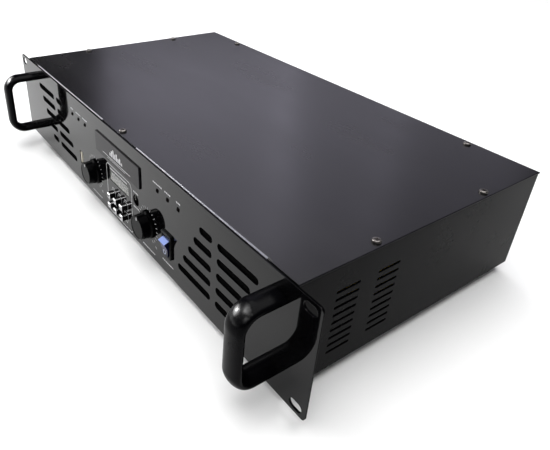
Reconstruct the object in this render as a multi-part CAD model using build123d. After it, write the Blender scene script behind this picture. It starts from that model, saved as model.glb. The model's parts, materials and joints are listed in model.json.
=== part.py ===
from build123d import *
import os

# Two-unit rack power amplifier with a small media player in its front panel.
# Millimetres. X runs along the front panel, Y from front to back, +Z up.
# Everything is drawn with y = 0 on the panel's front face and z = 0 under the feet;
# save() then moves the origin to the bottom centre of the bounding box.

# ---- driving dimensions -------------------------------------------------------------
PANEL_W, PANEL_H, PANEL_T = 482.6, 88.1, 1.5     # 19 inch, 2 rack units
PANEL_Z = 5.5                                    # lower edge of the panel over the floor
PANEL_CORNER = 3.0
RACK_X, RACK_Z = 465.1, 76.2                     # rack slot centres, across and up
SLOT_L, SLOT_H = 11.0, 6.8
BODY_W, BODY_Z, BODY_BACK = 441.0, 8.0, 244.5
SHEET = 1.0
LID_Z = 93.0                                     # underside of the lid
LID_BACK = 245.3
FOLD_XS, FOLD_DROP, FOLD_BEND = (30.5, 196.5), 7.0, 1.3   # lid's front fold: span each side, depth, bend
SIDE_SCREW_X, SIDE_SCREW_YS = 215.4, (68.2, 179.1)   # lid screws along the sides
REAR_SCREW_X, REAR_SCREW_Y = 161.8, 239.2        # lid screws at the back
LID_TAB_Y = 6.2                                  # middle screw at the front of the lid
COVER_PILOT_R, COVER_CLEAR_R = 1.5, 1.7          # lid screw holes: in the steel below, in the lid
TAB_TOP = BODY_Z + 7.5                           # top of the tray's front lip and rear tabs

HANDLE_X, HANDLE_REACH = 207.0, 29.0             # centre line of the bar
HANDLE_W, HANDLE_T = 16.6, 7.8                   # oval bar: across the panel, and thickness
HANDLE_Z = (PANEL_Z + 16.4, PANEL_Z + 72.7)
HANDLE_BEND = 12.0

VENT_X, VENT_RIB, VENT_H = 144.0, 6.0, 6.0       # centre of a vent group, rib between columns
VENT_Z, VENT_PITCH, VENT_ROWS = PANEL_Z + 19.8, 12.2, 5
VENT_SHORT, VENT_STEP = 15.5, 6.9                # shortest slot, growth from row to row

LED_X, LED_PITCH, LED_Z, LED_R = 83.0, 15.0, PANEL_Z + 69.0, 1.85
BADGE_X, BADGE_W, BADGE_Z0, BADGE_Z1, BADGE_T = -1.0, 83.0, PANEL_Z + 55.8, PANEL_Z + 75.1, 1.3

KNOB_X, KNOB_Z, KNOB_R, KNOB_H = 51.0, PANEL_Z + 29.3, 10.2, 10.3
SKIRT_R, SHAFT_R, BUSH_R = 11.8, 3.0, 3.4

MEDIA_X = -0.8                                   # middle of the media player's controls
BUTTON_W, BUTTON_TALL, BUTTON_OUT = 4.8, 5.0, 5.6
BUTTON_PITCH_X, BUTTON_PITCH_Z, BUTTON_Z = 11.9, 10.0, PANEL_Z + 19.4
DISPLAY_W, DISPLAY_TALL, DISPLAY_Z = 36.5, 9.4, PANEL_Z + 41.1
USB_X, USB_Z = -84.0, PANEL_Z + 28.3
AUX_X, AUX_Z, AUX_HOLE_R = 31.2, PANEL_Z + 41.0, 5.0
BOARD_Y, BOARD_T = 14.0, 1.6                     # control board behind the panel

SWITCH_X, SWITCH_Z = 82.3, PANEL_Z + 28.7
BEZEL_W, BEZEL_TALL, BEZEL_T = 14.6, 21.7, 1.8
ROCKER_W, ROCKER_TILT, ROCKER_PIVOT = 9.3, 13.0, 4.0

REAR_Y = 243.0                                   # inner face of the rear panel
REAR_T = 1.2
REAR_FACE = REAR_Y + REAR_T
INLET_X, INLET_Z, INLET_SCREW = 178.0, 46.0, 20.0   # centre, and its screws to either side
FUSE_X, FUSE_Z = 132.0, 46.0
FAN_X, FAN_Z, FAN_W, FAN_DEEP, FAN_R = 62.0, 51.0, 80.0, 25.0, 38.6
SPEAKER_XS, SPEAKER_Z, SPEAKER_R = (-4.0, -42.0), 52.0, 11.5
SPEAKER_SEAT = 14.0                              # depth at which the socket narrows
LINE_X, LINE_Z, LINE_PITCH, LINE_R = -102.0, 52.0, 16.0, 4.15
MODE_X, MODE_Z, MODE_TRAVEL = -140.0, 66.0, 4.0
JACK_XS, JACK_Z, JACK_R = (-162.0, -192.0), 46.0, 3.2

FOOT_X, FOOT_YS, FOOT_R = 190.0, (30.0, 222.0), 10.0
TORUS_X, TORUS_Y, TORUS_R, TORUS_H = 150.0, 128.0, 49.0, 42.0
SUPPLY_X, SUPPLY_Y, SUPPLY_W, SUPPLY_L = 52.0, 112.0, 78.0, 100.0
AMP_X, AMP_Y, AMP_W, AMP_L = -110.0, 125.0, 90.0, 126.0
SPACER_H = 8.0
PANEL_SCREW_Z, PANEL_SCREW_XS = BODY_Z + 3.9, (-150.0, -60.0, 60.0, 150.0)
PILOT_DEEP = 1.0                                 # blind holes in the back of the panel
FLOOR = BODY_Z + SHEET                           # top of the tray's floor

FRONT_MOST = -(HANDLE_REACH + HANDLE_T / 2)
BACK_MOST = REAR_FACE + 10.0                     # tips of the phono sockets
MID_Y = (FRONT_MOST + BACK_MOST) / 2

os.makedirs("parts", exist_ok=True)


# ---- helpers ------------------------------------------------------------------------
def save(name, *solids):
    """Write one node: its solids moved into the part's own frame."""
    moved = [Pos(0, -MID_Y, 0) * s for solid in solids for s in solid.solids()]
    shape = moved[0] if len(moved) == 1 else Compound(children=moved)
    export_step(shape, f"parts/{name}.step")


def block(x0, x1, y0, y1, z0, z1):
    return Pos((x0 + x1) / 2, (y0 + y1) / 2, (z0 + z1) / 2) * Box(x1 - x0, y1 - y0, z1 - z0)


def block_at(x, z, w, tall, y0, y1):
    return block(x - w / 2, x + w / 2, y0, y1, z - tall / 2, z + tall / 2)


def rod_y(x, z, r, y0, y1):
    return Pos(x, (y0 + y1) / 2, z) * Rot(90, 0, 0) * Cylinder(r, y1 - y0)


def rod_z(x, y, r, z0, z1):
    return Pos(x, y, (z0 + z1) / 2) * Cylinder(r, z1 - z0)


def rod_x(y, z, r, x0, x1):
    return Pos((x0 + x1) / 2, y, z) * Rot(0, 90, 0) * Cylinder(r, x1 - x0)


def face_plate(x, z, w, tall, corner, y0, y1):
    """Rounded rectangle in the XZ plane, from y0 back to y1."""
    outline = RectangleRounded(w, tall, corner)
    return Pos(x, y1, z) * Rot(90, 0, 0) * extrude(outline, y1 - y0)


def oblong(x, z, length, tall, y0, y1):
    outline = SlotOverall(length, tall)
    return Pos(x, y1, z) * Rot(90, 0, 0) * extrude(outline, y1 - y0)


def screw(head_r, head_h, shank_r, length):
    """Pan-head cross-recess screw along Z, its head standing on z = 0."""
    head = Cylinder(head_r, head_h, align=(Align.CENTER, Align.CENTER, Align.MIN))
    head = fillet(head.edges().sort_by(Axis.Z)[-1], head_h * 0.6)
    arm = head_r * 1.1
    cross_floor = head_h * 0.45
    for turn in (0, 90):
        head -= Pos(0, 0, head_h) * Rot(0, 0, turn) * Box(arm, head_r * 0.26, 2 * (head_h - cross_floor))
    shank = Cylinder(shank_r, length, align=(Align.CENTER, Align.CENTER, Align.MAX))
    return head + shank


def facing_back(x, y, z, part):
    """Turn a part drawn along +Z so that it points to +Y."""
    return Pos(x, y, z) * Rot(-90, 0, 0) * part


def both_sides(x):
    return (-x, x)


# ---- front panel and what it carries ------------------------------------------------
def vent_slots():
    """(x, z, length) of each vent slot: the inner column grows downward, the outer one upward."""
    slots = []
    for side in (-1, 1):
        for row in range(VENT_ROWS):
            z = VENT_Z + row * VENT_PITCH
            inner = VENT_SHORT + VENT_STEP * (VENT_ROWS - 1 - row)
            outer = VENT_SHORT + VENT_STEP * row
            slots.append((side * (VENT_X - VENT_RIB / 2 - inner / 2), z, inner))
            slots.append((side * (VENT_X + VENT_RIB / 2 + outer / 2), z, outer))
    return slots


def led_places():
    return [(side * LED_X + step * LED_PITCH, LED_Z) for side in (-1, 1) for step in (-1, 0, 1)]


def button_places():
    rows = (BUTTON_Z + BUTTON_PITCH_Z / 2, BUTTON_Z - BUTTON_PITCH_Z / 2)
    return [(MEDIA_X + step * BUTTON_PITCH_X, z) for z in rows for step in (-1, 0, 1)]


def rack_places():
    middle = PANEL_Z + PANEL_H / 2
    return [(x, middle + dz) for x in both_sides(RACK_X / 2) for dz in both_sides(RACK_Z / 2)]


def front_panel():
    y0, y1 = -1.0, PANEL_T + 1.0                 # cutters pass through both faces
    panel = face_plate(0, PANEL_Z + PANEL_H / 2, PANEL_W, PANEL_H, PANEL_CORNER, 0, PANEL_T)
    cuts = [oblong(x, z, SLOT_L, SLOT_H, y0, y1) for x, z in rack_places()]
    cuts += [oblong(x, z, length, VENT_H, y0, y1) for x, z, length in vent_slots()]
    cuts += [rod_y(x, z, LED_R + 0.15, y0, y1) for x, z in led_places()]
    cuts += [rod_y(x, KNOB_Z, BUSH_R + 0.1, y0, y1) for x in both_sides(KNOB_X)]
    cuts += [block_at(x, z, BUTTON_W + 0.7, BUTTON_TALL + 0.7, y0, y1) for x, z in button_places()]
    cuts.append(face_plate(MEDIA_X, DISPLAY_Z, DISPLAY_W, DISPLAY_TALL, 0.6, y0, y1))
    cuts.append(face_plate(USB_X, USB_Z, 7.6, 14.2, 0.8, y0, y1))
    cuts.append(rod_y(AUX_X, AUX_Z, AUX_HOLE_R, y0, y1))
    cuts.append(block_at(SWITCH_X, SWITCH_Z, 12.9, 19.3, y0, y1))
    cuts += [rod_y(x, z, 2.6, y0, y1) for x in both_sides(HANDLE_X) for z in HANDLE_Z]
    cuts += [rod_y(x, PANEL_SCREW_Z, 1.25, PANEL_T - PILOT_DEEP, y1) for x in PANEL_SCREW_XS]
    return panel - cuts


def handle(x):
    """Bar of oval section bent into a D, with a blind screw hole in each end."""
    low, high = HANDLE_Z
    out = -HANDLE_REACH
    path = FilletPolyline((x, 0, low), (x, out, low), (x, out, high), (x, 0, high), radius=HANDLE_BEND)
    start = Plane(origin=path @ 0, x_dir=(1, 0, 0), z_dir=path % 0)
    bar = sweep(start * Ellipse(HANDLE_W / 2, HANDLE_T / 2), path)
    for z in HANDLE_Z:
        bar -= rod_y(x, z, 2.0, -12.0, 1.0)
    return bar


def handle_screws():
    one = screw(4.4, 3.0, 1.95, 12.0)
    return [facing_back(x, PANEL_T, z, one) for x in both_sides(HANDLE_X) for z in HANDLE_Z]


def badge_plate():
    z = (BADGE_Z0 + BADGE_Z1) / 2
    plate = face_plate(BADGE_X, z, BADGE_W, BADGE_Z1 - BADGE_Z0, 1.2, -BADGE_T, 0)
    return chamfer(plate.faces().sort_by(Axis.Y)[0].edges(), 0.25)


def vent_screens():
    """Sheets of filter foam behind the vents, notched round the outer lamp of each row."""
    screens = []
    for side in (-1, 1):
        low = block_at(side * 142.5, PANEL_Z + 37.0, 95.0, 46.0, PANEL_T, PANEL_T + 2.5)
        high = block_at(side * 153.0, PANEL_Z + 67.0, 74.0, 14.0, PANEL_T, PANEL_T + 2.5)
        screens.append(low + high)
    return screens


def led(x, z):
    dome_y = LED_R - 1.1                         # the dome stands 1.1 mm out of the panel
    lens = Pos(x, dome_y, z) * Sphere(LED_R)
    lens += rod_y(x, z, LED_R, dome_y, PANEL_T + 0.8)
    return lens + rod_y(x, z, LED_R + 0.4, PANEL_T + 0.3, PANEL_T + 1.5)


def led_spacer(x, z):
    return rod_y(x, z, 2.4, PANEL_T + 1.5, BOARD_Y) - rod_y(x, z, 1.0, PANEL_T, BOARD_Y - 1.0)


def control_board():
    """T-shaped board: the lamps sit on its wide top strip, the media player below."""
    y1 = BOARD_Y + BOARD_T
    board = block(-104.0, 104.0, BOARD_Y, y1, PANEL_Z + 61.0, PANEL_Z + 76.0)
    board += block(-94.0, 66.0, BOARD_Y, y1, PANEL_Z + 9.0, PANEL_Z + 61.0)
    return board


def display_lens():
    y0 = 0.4
    pane = block_at(MEDIA_X, DISPLAY_Z, DISPLAY_W - 0.3, DISPLAY_TALL - 0.3, y0, PANEL_T)
    return pane + block_at(MEDIA_X, DISPLAY_Z, DISPLAY_W + 4.0, DISPLAY_TALL + 4.0, PANEL_T, PANEL_T + 0.8)


def display_module():
    return block_at(MEDIA_X, DISPLAY_Z, 42.0, 14.0, PANEL_T + 0.8, BOARD_Y)


def usb_port():
    """Sheet-metal USB-A shell standing upright on the board, open at its mouth."""
    shell = block_at(USB_X, USB_Z, 5.8, 13.2, 0.7, BOARD_Y)
    return shell - block_at(USB_X, USB_Z, 5.0, 12.4, 0.0, BOARD_Y - 1.5)


def usb_tongue():
    return block(USB_X - 2.2, USB_X - 0.4, 2.6, BOARD_Y - 1.5, USB_Z - 5.6, USB_Z + 5.6)


def aux_jack():
    body = block_at(AUX_X, AUX_Z, 11.0, 11.0, PANEL_T + 1.9, BOARD_Y)
    nose = rod_y(AUX_X, AUX_Z, 4.2, PANEL_T + 0.4, PANEL_T + 1.9)
    return body + nose - rod_y(AUX_X, AUX_Z, 1.8, 0, BOARD_Y - 1.0)


def media_button(x, z):
    """Square cap, a flange that keeps it behind the panel, and the stem that presses the switch."""
    cap = block_at(x, z, BUTTON_W, BUTTON_TALL, -BUTTON_OUT, PANEL_T + 0.3)
    cap = chamfer(cap.faces().sort_by(Axis.Y)[0].edges(), 0.6)
    flange = block_at(x, z, 7.8, 8.2, PANEL_T + 0.3, PANEL_T + 1.5)
    return cap + flange + rod_y(x, z, 1.5, PANEL_T + 1.5, BOARD_Y - 2.5)


def tact_switch(x, z):
    return block_at(x, z, 6.2, 6.2, BOARD_Y - 4.5, BOARD_Y) - rod_y(x, z, 1.85, 0, BOARD_Y - 0.8)


# ---- volume controls ----------------------------------------------------------------
def volume_knob(x):
    """Turned shape: skirt at the panel, slightly tapered grip, dished face."""
    profile = Polyline(
        (0, KNOB_H - 0.3), (KNOB_R - 1.6, KNOB_H - 0.3), (KNOB_R - 1.3, KNOB_H),
        (KNOB_R - 0.5, KNOB_H), (KNOB_R, KNOB_H - 0.6), (KNOB_R + 0.5, 3.0),
        (SKIRT_R - 0.5, 2.5), (SKIRT_R, 2.0), (SKIRT_R, 0.7), (8.4, 0.7),
        (8.4, 5.4), (SHAFT_R + 0.02, 5.4), (SHAFT_R + 0.02, 9.2), (0, 9.2), close=True)
    turned = revolve(Plane.XZ * make_face(profile), Axis.Z)
    return Pos(x, 0, KNOB_Z) * Rot(90, 0, 0) * turned


def volume_shaft(x):
    return rod_y(x, KNOB_Z, SHAFT_R, -9.2, 9.6)


def volume_pot(x):
    """Potentiometer case with its threaded bush, bored for the shaft."""
    case = rod_y(x, KNOB_Z, 8.6, PANEL_T, 12.6) + rod_y(x, KNOB_Z, BUSH_R, -4.6, PANEL_T)
    tabs = [block_at(x + dx, KNOB_Z - 11.0, 1.2, 6.0, 8.0, 8.8) for dx in (-5.0, 0, 5.0)]
    return case + tabs - rod_y(x, KNOB_Z, SHAFT_R + 0.05, -6.0, 10.0)


def pot_nut(x):
    hexagon = extrude(RegularPolygon(6.0, 6), 2.2)
    nut = Pos(x, 0, KNOB_Z) * Rot(90, 0, 0) * hexagon
    return nut - rod_y(x, KNOB_Z, BUSH_R + 0.05, -4.0, 1.0)


# ---- power switch -------------------------------------------------------------------
CAVITY_W, CAVITY_TALL = 10.1, 17.4


def power_switch_housing():
    bezel = face_plate(SWITCH_X, SWITCH_Z, BEZEL_W, BEZEL_TALL, 1.2, -BEZEL_T, 0)
    bezel = chamfer(bezel.faces().sort_by(Axis.Y)[0].edges(), 0.4)
    shell = bezel + block_at(SWITCH_X, SWITCH_Z, 12.6, 19.0, 0, 17.0)
    shell -= block_at(SWITCH_X, SWITCH_Z, CAVITY_W, CAVITY_TALL, -BEZEL_T - 1.0, 15.0)
    shell += rod_x(ROCKER_PIVOT, SWITCH_Z, 1.2, SWITCH_X - 5.5, SWITCH_X + 5.5)
    for dz in (-6.0, 0, 6.0):
        shell += block_at(SWITCH_X, SWITCH_Z + dz, 4.8, 0.8, 17.0, 24.0)
    return shell


def power_rocker():
    """Concave rocker, drawn level and then tilted to its resting side, upper half out."""
    rim, face, belly = (6.3, 8.6), 7.3, (7.17, 3.97)
    outline = Polyline((-rim[1], -rim[0]), (-belly[1], -belly[0]), (-1.5, -4.6), (2.6, -1.5),
                       (2.6, 1.5), (-1.5, 4.6), (-belly[1], belly[0]), (-rim[1], rim[0]))
    dish = ThreePointArc((-rim[1], rim[0]), (-face, 0), (-rim[1], -rim[0]))
    side = make_face([*outline.edges(), dish])
    body = extrude(Plane.YZ.offset(-ROCKER_W / 2) * side, ROCKER_W)
    body -= rod_x(0, 0, 1.25, -ROCKER_W, ROCKER_W)
    return Pos(SWITCH_X, ROCKER_PIVOT, SWITCH_Z) * Rot(ROCKER_TILT, 0, 0) * body


# ---- sheet-metal body ---------------------------------------------------------------
COVER_SCREWS = ([(x, y) for x in both_sides(SIDE_SCREW_X) for y in SIDE_SCREW_YS]
                + [(x, REAR_SCREW_Y) for x in both_sides(REAR_SCREW_X)] + [(0.0, LID_TAB_Y)])
REAR_SCREW_XS = (-205.0, -75.0, 8.0, 205.0)
SIDE_SLOT = (20.4, 2.2)                          # length, height
SIDE_SLOT_YS, SIDE_SLOT_PITCH, SIDE_SLOT_ROWS = (44.2, 80.3), 6.17, 9
SIDE_SLOT_Z = PANEL_Z + 18.5


def chassis_tray():
    """Folded tray: floor, sides with inward top flanges, a low front lip and four tabs at the rear."""
    half, y0, y1 = BODY_W / 2, PANEL_T, BODY_BACK
    tray = extrude(Plane.XZ.offset(-y1) * RectangleRounded(BODY_W, LID_Z - BODY_Z, 1.2), y1 - y0)
    tray = Pos(0, 0, (BODY_Z + LID_Z) / 2) * tray
    tray -= block(-half + SHEET, half - SHEET, 0, y1 + 1, FLOOR, LID_Z - SHEET)
    tray -= block(-half + 12.0, half - 12.0, 0, y1 + 1, LID_Z - 2 * SHEET, LID_Z + 1)
    tray += block(-half + SHEET, half - SHEET, y0, y0 + SHEET, FLOOR, TAB_TOP)
    tray += [block(x - 7.0, x + 7.0, REAR_Y - SHEET, REAR_Y, FLOOR, TAB_TOP) for x in REAR_SCREW_XS]
    slots = []
    for y in SIDE_SLOT_YS:
        for row in range(SIDE_SLOT_ROWS):
            z = SIDE_SLOT_Z + row * SIDE_SLOT_PITCH
            outline = Plane.YZ.offset(-half - 5) * Pos(y, z) * SlotOverall(*SIDE_SLOT)
            slots.append(extrude(outline, BODY_W + 10))
    holes = [rod_z(x, y, COVER_PILOT_R, LID_Z - 2, LID_Z + 1)
             for x in both_sides(SIDE_SCREW_X) for y in SIDE_SCREW_YS]
    holes += [rod_z(x, y, 1.6, BODY_Z - 1, FLOOR + 1) for x in both_sides(FOOT_X) for y in FOOT_YS]
    holes += [rod_y(x, PANEL_SCREW_Z, 1.6, 0, 6) for x in PANEL_SCREW_XS]
    holes += [rod_y(x, PANEL_SCREW_Z, 1.25, REAR_Y - 2, REAR_Y + 1) for x in REAR_SCREW_XS]
    holes.append(rod_z(TORUS_X, TORUS_Y, 3.2, BODY_Z - 1, FLOOR + 1))
    return tray - slots - holes


def top_cover():
    """Flat lid. Its front edge folds down in two lengths, leaving a plain tab at the middle screw."""
    y0, half = PANEL_T + 0.4, BODY_W / 2 + 0.5
    lid = block(-half, half, y0, LID_BACK, LID_Z, LID_Z + SHEET)
    top, foot_z, strip = LID_Z + SHEET, LID_Z - FOLD_DROP, y0 + 3.0   # strip: where the fold joins the lid
    for side in (-1, 1):
        x0, x1 = sorted(side * x for x in FOLD_XS)
        corner = Polyline((strip, top), (y0 + FOLD_BEND, top))
        curve = CenterArc((y0 + FOLD_BEND, top - FOLD_BEND), FOLD_BEND, 90, 90)
        drop = Polyline((y0, top - FOLD_BEND), (y0, foot_z), (y0 + SHEET, foot_z),
                        (y0 + SHEET, LID_Z), (strip, LID_Z), (strip, top))
        fold = make_face([*corner.edges(), curve, *drop.edges()])
        lid -= block(x0, x1, y0 - 1, strip, LID_Z - 1, top + 1)
        lid += extrude(Plane.YZ.offset(x0) * fold, x1 - x0)
    return lid - [rod_z(x, y, COVER_CLEAR_R, LID_Z - 1, LID_Z + 3) for x, y in COVER_SCREWS]


def lid_rails():
    """Angles across the top that the lid is screwed to: one at the front, one on the rear panel."""
    y0, half = PANEL_T + 1.8, BODY_W / 2 - 12.5
    front = block(-half, half, y0, y0 + 11.0, LID_Z - SHEET, LID_Z)
    front += block(-half, half, y0, y0 + SHEET, LID_Z - 8.0, LID_Z)
    rear = block(-half, half, REAR_Y - 11.0, REAR_FACE, LID_Z - SHEET, LID_Z)
    for x in both_sides(160.0):
        rear += block(x - 40.0, x + 40.0, REAR_Y - SHEET, REAR_Y, LID_Z - 8.0, LID_Z)
    z0, z1 = LID_Z - 2, LID_Z + 1
    rear -= [rod_z(x, REAR_SCREW_Y, COVER_PILOT_R, z0, z1) for x in both_sides(REAR_SCREW_X)]
    return [front - rod_z(0, LID_TAB_Y, COVER_PILOT_R, z0, z1), rear]


def cover_screws():
    one = screw(3.1, 1.9, 1.45, 7.0)
    return [Pos(x, y, LID_Z + SHEET) * Rot(0, 0, 17 * i) * one for i, (x, y) in enumerate(COVER_SCREWS)]


def rear_panel():
    """Flat rear wall, screwed to the tray's tabs."""
    half = BODY_W / 2 - SHEET - 0.2
    wall = block(-half, half, REAR_Y, REAR_FACE, FLOOR, LID_Z - SHEET)
    y0, y1 = REAR_Y - 1, REAR_FACE + 1
    cuts = [rod_y(x, PANEL_SCREW_Z, 1.6, y0, y1) for x in REAR_SCREW_XS]
    cuts.append(block_at(INLET_X, INLET_Z, 28.0, 20.4, y0, y1))
    cuts += [rod_y(INLET_X + dx, INLET_Z, 1.6, y0, y1) for dx in both_sides(INLET_SCREW)]
    cuts.append(rod_y(FUSE_X, FUSE_Z, 6.6, y0, y1))
    cuts.append(rod_y(FAN_X, FAN_Z, FAN_R - 0.6, y0, y1))
    cuts += [rod_y(x, z, 2.2, y0, y1) for x, z in fan_corners()]
    cuts += [rod_y(x, SPEAKER_Z, 13.4, y0, y1) for x in SPEAKER_XS]
    cuts += [rod_y(x, z, 5.0, y0, y1) for x, z in line_places()]
    cuts.append(block_at(MODE_X, MODE_Z, 4.6 + MODE_TRAVEL, 4.4, y0, y1))
    cuts += [rod_y(x, JACK_Z, 6.1, y0, y1) for x in JACK_XS]
    return wall - cuts


def chassis_screws():
    """Identical M3 screws: four hold the front panel to the tray's lip, four the rear panel."""
    one = screw(2.8, 1.7, 1.2, SHEET + PILOT_DEEP - 0.1)
    front = [facing_back(x, PANEL_T + SHEET, PANEL_SCREW_Z, one) for x in PANEL_SCREW_XS]
    rear = [facing_back(x, REAR_FACE, PANEL_SCREW_Z, one) for x in REAR_SCREW_XS]
    return front + rear


def foot(x, y):
    rubber = Cone(FOOT_R - 1.2, FOOT_R, BODY_Z, align=(Align.CENTER, Align.CENTER, Align.MIN))
    rubber -= Cylinder(5.0, 4.0, align=(Align.CENTER, Align.CENTER, Align.MIN))
    rubber -= Cylinder(1.7, BODY_Z, align=(Align.CENTER, Align.CENTER, Align.MIN))
    return Pos(x, y, 0) * rubber


def foot_screws():
    one = Pos(0, 0, 4.0) * Rot(180, 0, 0) * screw(3.4, 2.0, 1.5, 7.5)
    return [Pos(x, y, 0) * one for x in both_sides(FOOT_X) for y in FOOT_YS]


# ---- rear connections ---------------------------------------------------------------
def mains_inlet():
    """IEC C14 inlet: screwed flange, and a deep cavity with two cut corners."""
    flange = face_plate(INLET_X, INLET_Z, 50.0, 24.0, 4.0, REAR_FACE, REAR_FACE + 2.8)
    body = flange + block_at(INLET_X, INLET_Z, 27.4, 19.8, REAR_FACE - 19.0, REAR_FACE)
    cavity = Polyline((-12.2, -8.1), (12.2, -8.1), (12.2, 4.0),
                      (8.2, 8.1), (-8.2, 8.1), (-12.2, 4.0), close=True)
    mouth = Pos(INLET_X, REAR_FACE + 3.8, INLET_Z) * Rot(90, 0, 0) * extrude(make_face(cavity), 20.8)
    holes = [rod_y(INLET_X + dx, INLET_Z, 1.6, REAR_FACE - 1, REAR_FACE + 4)
             for dx in both_sides(INLET_SCREW)]
    return body - mouth - holes


def inlet_pins():
    """Three blades standing in the inlet's cavity."""
    places = ((-7.0, -1.5), (0.0, 2.5), (7.0, -1.5))
    return [block_at(INLET_X + dx, INLET_Z + dz, 2.0, 4.0, REAR_FACE - 17.0, REAR_FACE - 3.0)
            for dx, dz in places]


def inlet_screws():
    one = screw(2.8, 1.7, 1.5, 6.0)
    return [facing_back(INLET_X + dx, REAR_FACE + 2.8, INLET_Z, one) for dx in both_sides(INLET_SCREW)]


def fuse_holder():
    """Panel fuse holder: flange, threaded barrel and an end tag, open for the fuse carrier."""
    barrel = rod_y(FUSE_X, FUSE_Z, 6.4, REAR_FACE - 28.0, REAR_FACE)
    barrel += rod_y(FUSE_X, FUSE_Z, 8.8, REAR_FACE, REAR_FACE + 2.2)
    barrel -= rod_y(FUSE_X, FUSE_Z, 4.9, REAR_FACE - 26.0, REAR_FACE + 3.0)
    return barrel + block_at(FUSE_X, FUSE_Z, 4.8, 0.8, REAR_FACE - 34.0, REAR_FACE - 28.0)


def fuse_cap():
    """Bayonet cap with a screwdriver slot; its spigot carries the fuse inside the barrel."""
    y = REAR_FACE + 2.5
    cap = rod_y(FUSE_X, FUSE_Z, 6.2, y, y + 4.0) + rod_y(FUSE_X, FUSE_Z, 4.85, REAR_FACE - 4.0, y)
    cap += rod_y(FUSE_X, FUSE_Z, 2.6, REAR_FACE - 24.0, REAR_FACE - 4.0)
    return cap - block_at(FUSE_X, FUSE_Z, 14.0, 1.4, y + 2.4, y + 5.0)


def speaker_socket(x):
    """Round twist-lock loudspeaker socket on a square flange."""
    flange = face_plate(x, SPEAKER_Z, 26.0, 31.0, 3.0, REAR_FACE, REAR_FACE + 2.5)
    body = flange + rod_y(x, SPEAKER_Z, 13.2, REAR_FACE - 22.0, REAR_FACE)
    seat = REAR_FACE - SPEAKER_SEAT
    body -= rod_y(x, SPEAKER_Z, SPEAKER_R, seat, REAR_FACE + 4.0)
    body -= rod_y(x, SPEAKER_Z, SPEAKER_R - 1.0, seat - 6.0, seat)
    body += rod_y(x, SPEAKER_Z, 4.0, seat - 7.0, seat - 0.5)
    for dx, dz in ((-9.5, 12.0), (9.5, -12.0)):
        body -= rod_y(x + dx, SPEAKER_Z + dz, 1.6, REAR_FACE - 1, REAR_FACE + 3.0)
    return body


def line_places():
    steps = both_sides(LINE_PITCH / 2)
    return [(LINE_X + dx, LINE_Z + dz) for dx in steps for dz in steps]


def line_socket(x, z):
    """Phono socket: outer shell with a bored centre contact, and its collar at the panel."""
    shell = rod_y(x, z, LINE_R, REAR_FACE - 8.0, REAR_FACE + 10.0)
    shell += rod_y(x, z, 6.4, REAR_FACE, REAR_FACE + 1.2)
    return shell - rod_y(x, z, 1.6, REAR_FACE + 1.0, REAR_FACE + 11.0)


def input_jack(x):
    """6.35 mm jack: moulded case behind the panel, threaded nose, ring nut outside."""
    body = block_at(x, JACK_Z, 16.0, 20.0, REAR_Y - 26.0, REAR_Y)
    body += rod_y(x, JACK_Z, 5.9, REAR_Y, REAR_FACE + 4.0)
    nut = extrude(RegularPolygon(8.0, 6), 2.4)
    body += Pos(x, REAR_FACE + 2.4, JACK_Z) * Rot(90, 0, 0) * nut
    return body - rod_y(x, JACK_Z, JACK_R, REAR_Y - 24.0, REAR_FACE + 5.0)


def mode_switch():
    """Case of the slide switch behind the rear panel, with a channel for its slider."""
    case = block_at(MODE_X, MODE_Z, 20.0, 9.0, REAR_Y - 9.0, REAR_Y)
    return case - block_at(MODE_X, MODE_Z, 12.0, 5.6, REAR_Y - 4.0, REAR_Y + 1.0)


def mode_slider():
    """Slider resting at the left end of its travel, seen from the front."""
    x = MODE_X - MODE_TRAVEL / 2
    return (block_at(x, MODE_Z, 6.0, 5.0, REAR_Y - 3.6, REAR_Y - 0.4)
            + block_at(x, MODE_Z, 3.8, 3.6, REAR_Y - 0.4, REAR_FACE + 1.6))


# ---- fan ----------------------------------------------------------------------------
FAN_Y1 = REAR_Y
FAN_Y0 = FAN_Y1 - FAN_DEEP
FAN_HOLES = 71.5
FAN_HUB_R, FAN_BLADES = 18.5, 7


def fan_corners():
    half = FAN_HOLES / 2
    return [(FAN_X + dx, FAN_Z + dz) for dx in both_sides(half) for dz in both_sides(half)]


def fan_frame():
    frame = face_plate(FAN_X, FAN_Z, FAN_W, FAN_W, 4.0, FAN_Y0, FAN_Y1)
    frame -= rod_y(FAN_X, FAN_Z, FAN_R, FAN_Y0 - 1, FAN_Y1 + 1)
    frame -= [rod_y(x, z, 2.1, FAN_Y0 - 1, FAN_Y1 + 1) for x, z in fan_corners()]
    spider = rod_y(FAN_X, FAN_Z, FAN_HUB_R + 0.5, FAN_Y0, FAN_Y0 + 2.5)
    for turn in (45, 135):
        arm = Pos(FAN_X, FAN_Y0 + 1.25, FAN_Z) * Rot(0, turn, 0) * Box(2 * FAN_R + 2, 2.5, 3.0)
        spider += arm
    spider += rod_y(FAN_X, FAN_Z, 3.5, FAN_Y0, FAN_Y0 + 9.0)
    return frame + spider - rod_y(FAN_X, FAN_Z, 1.55, FAN_Y0 - 1, FAN_Y0 + 10.0)


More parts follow.
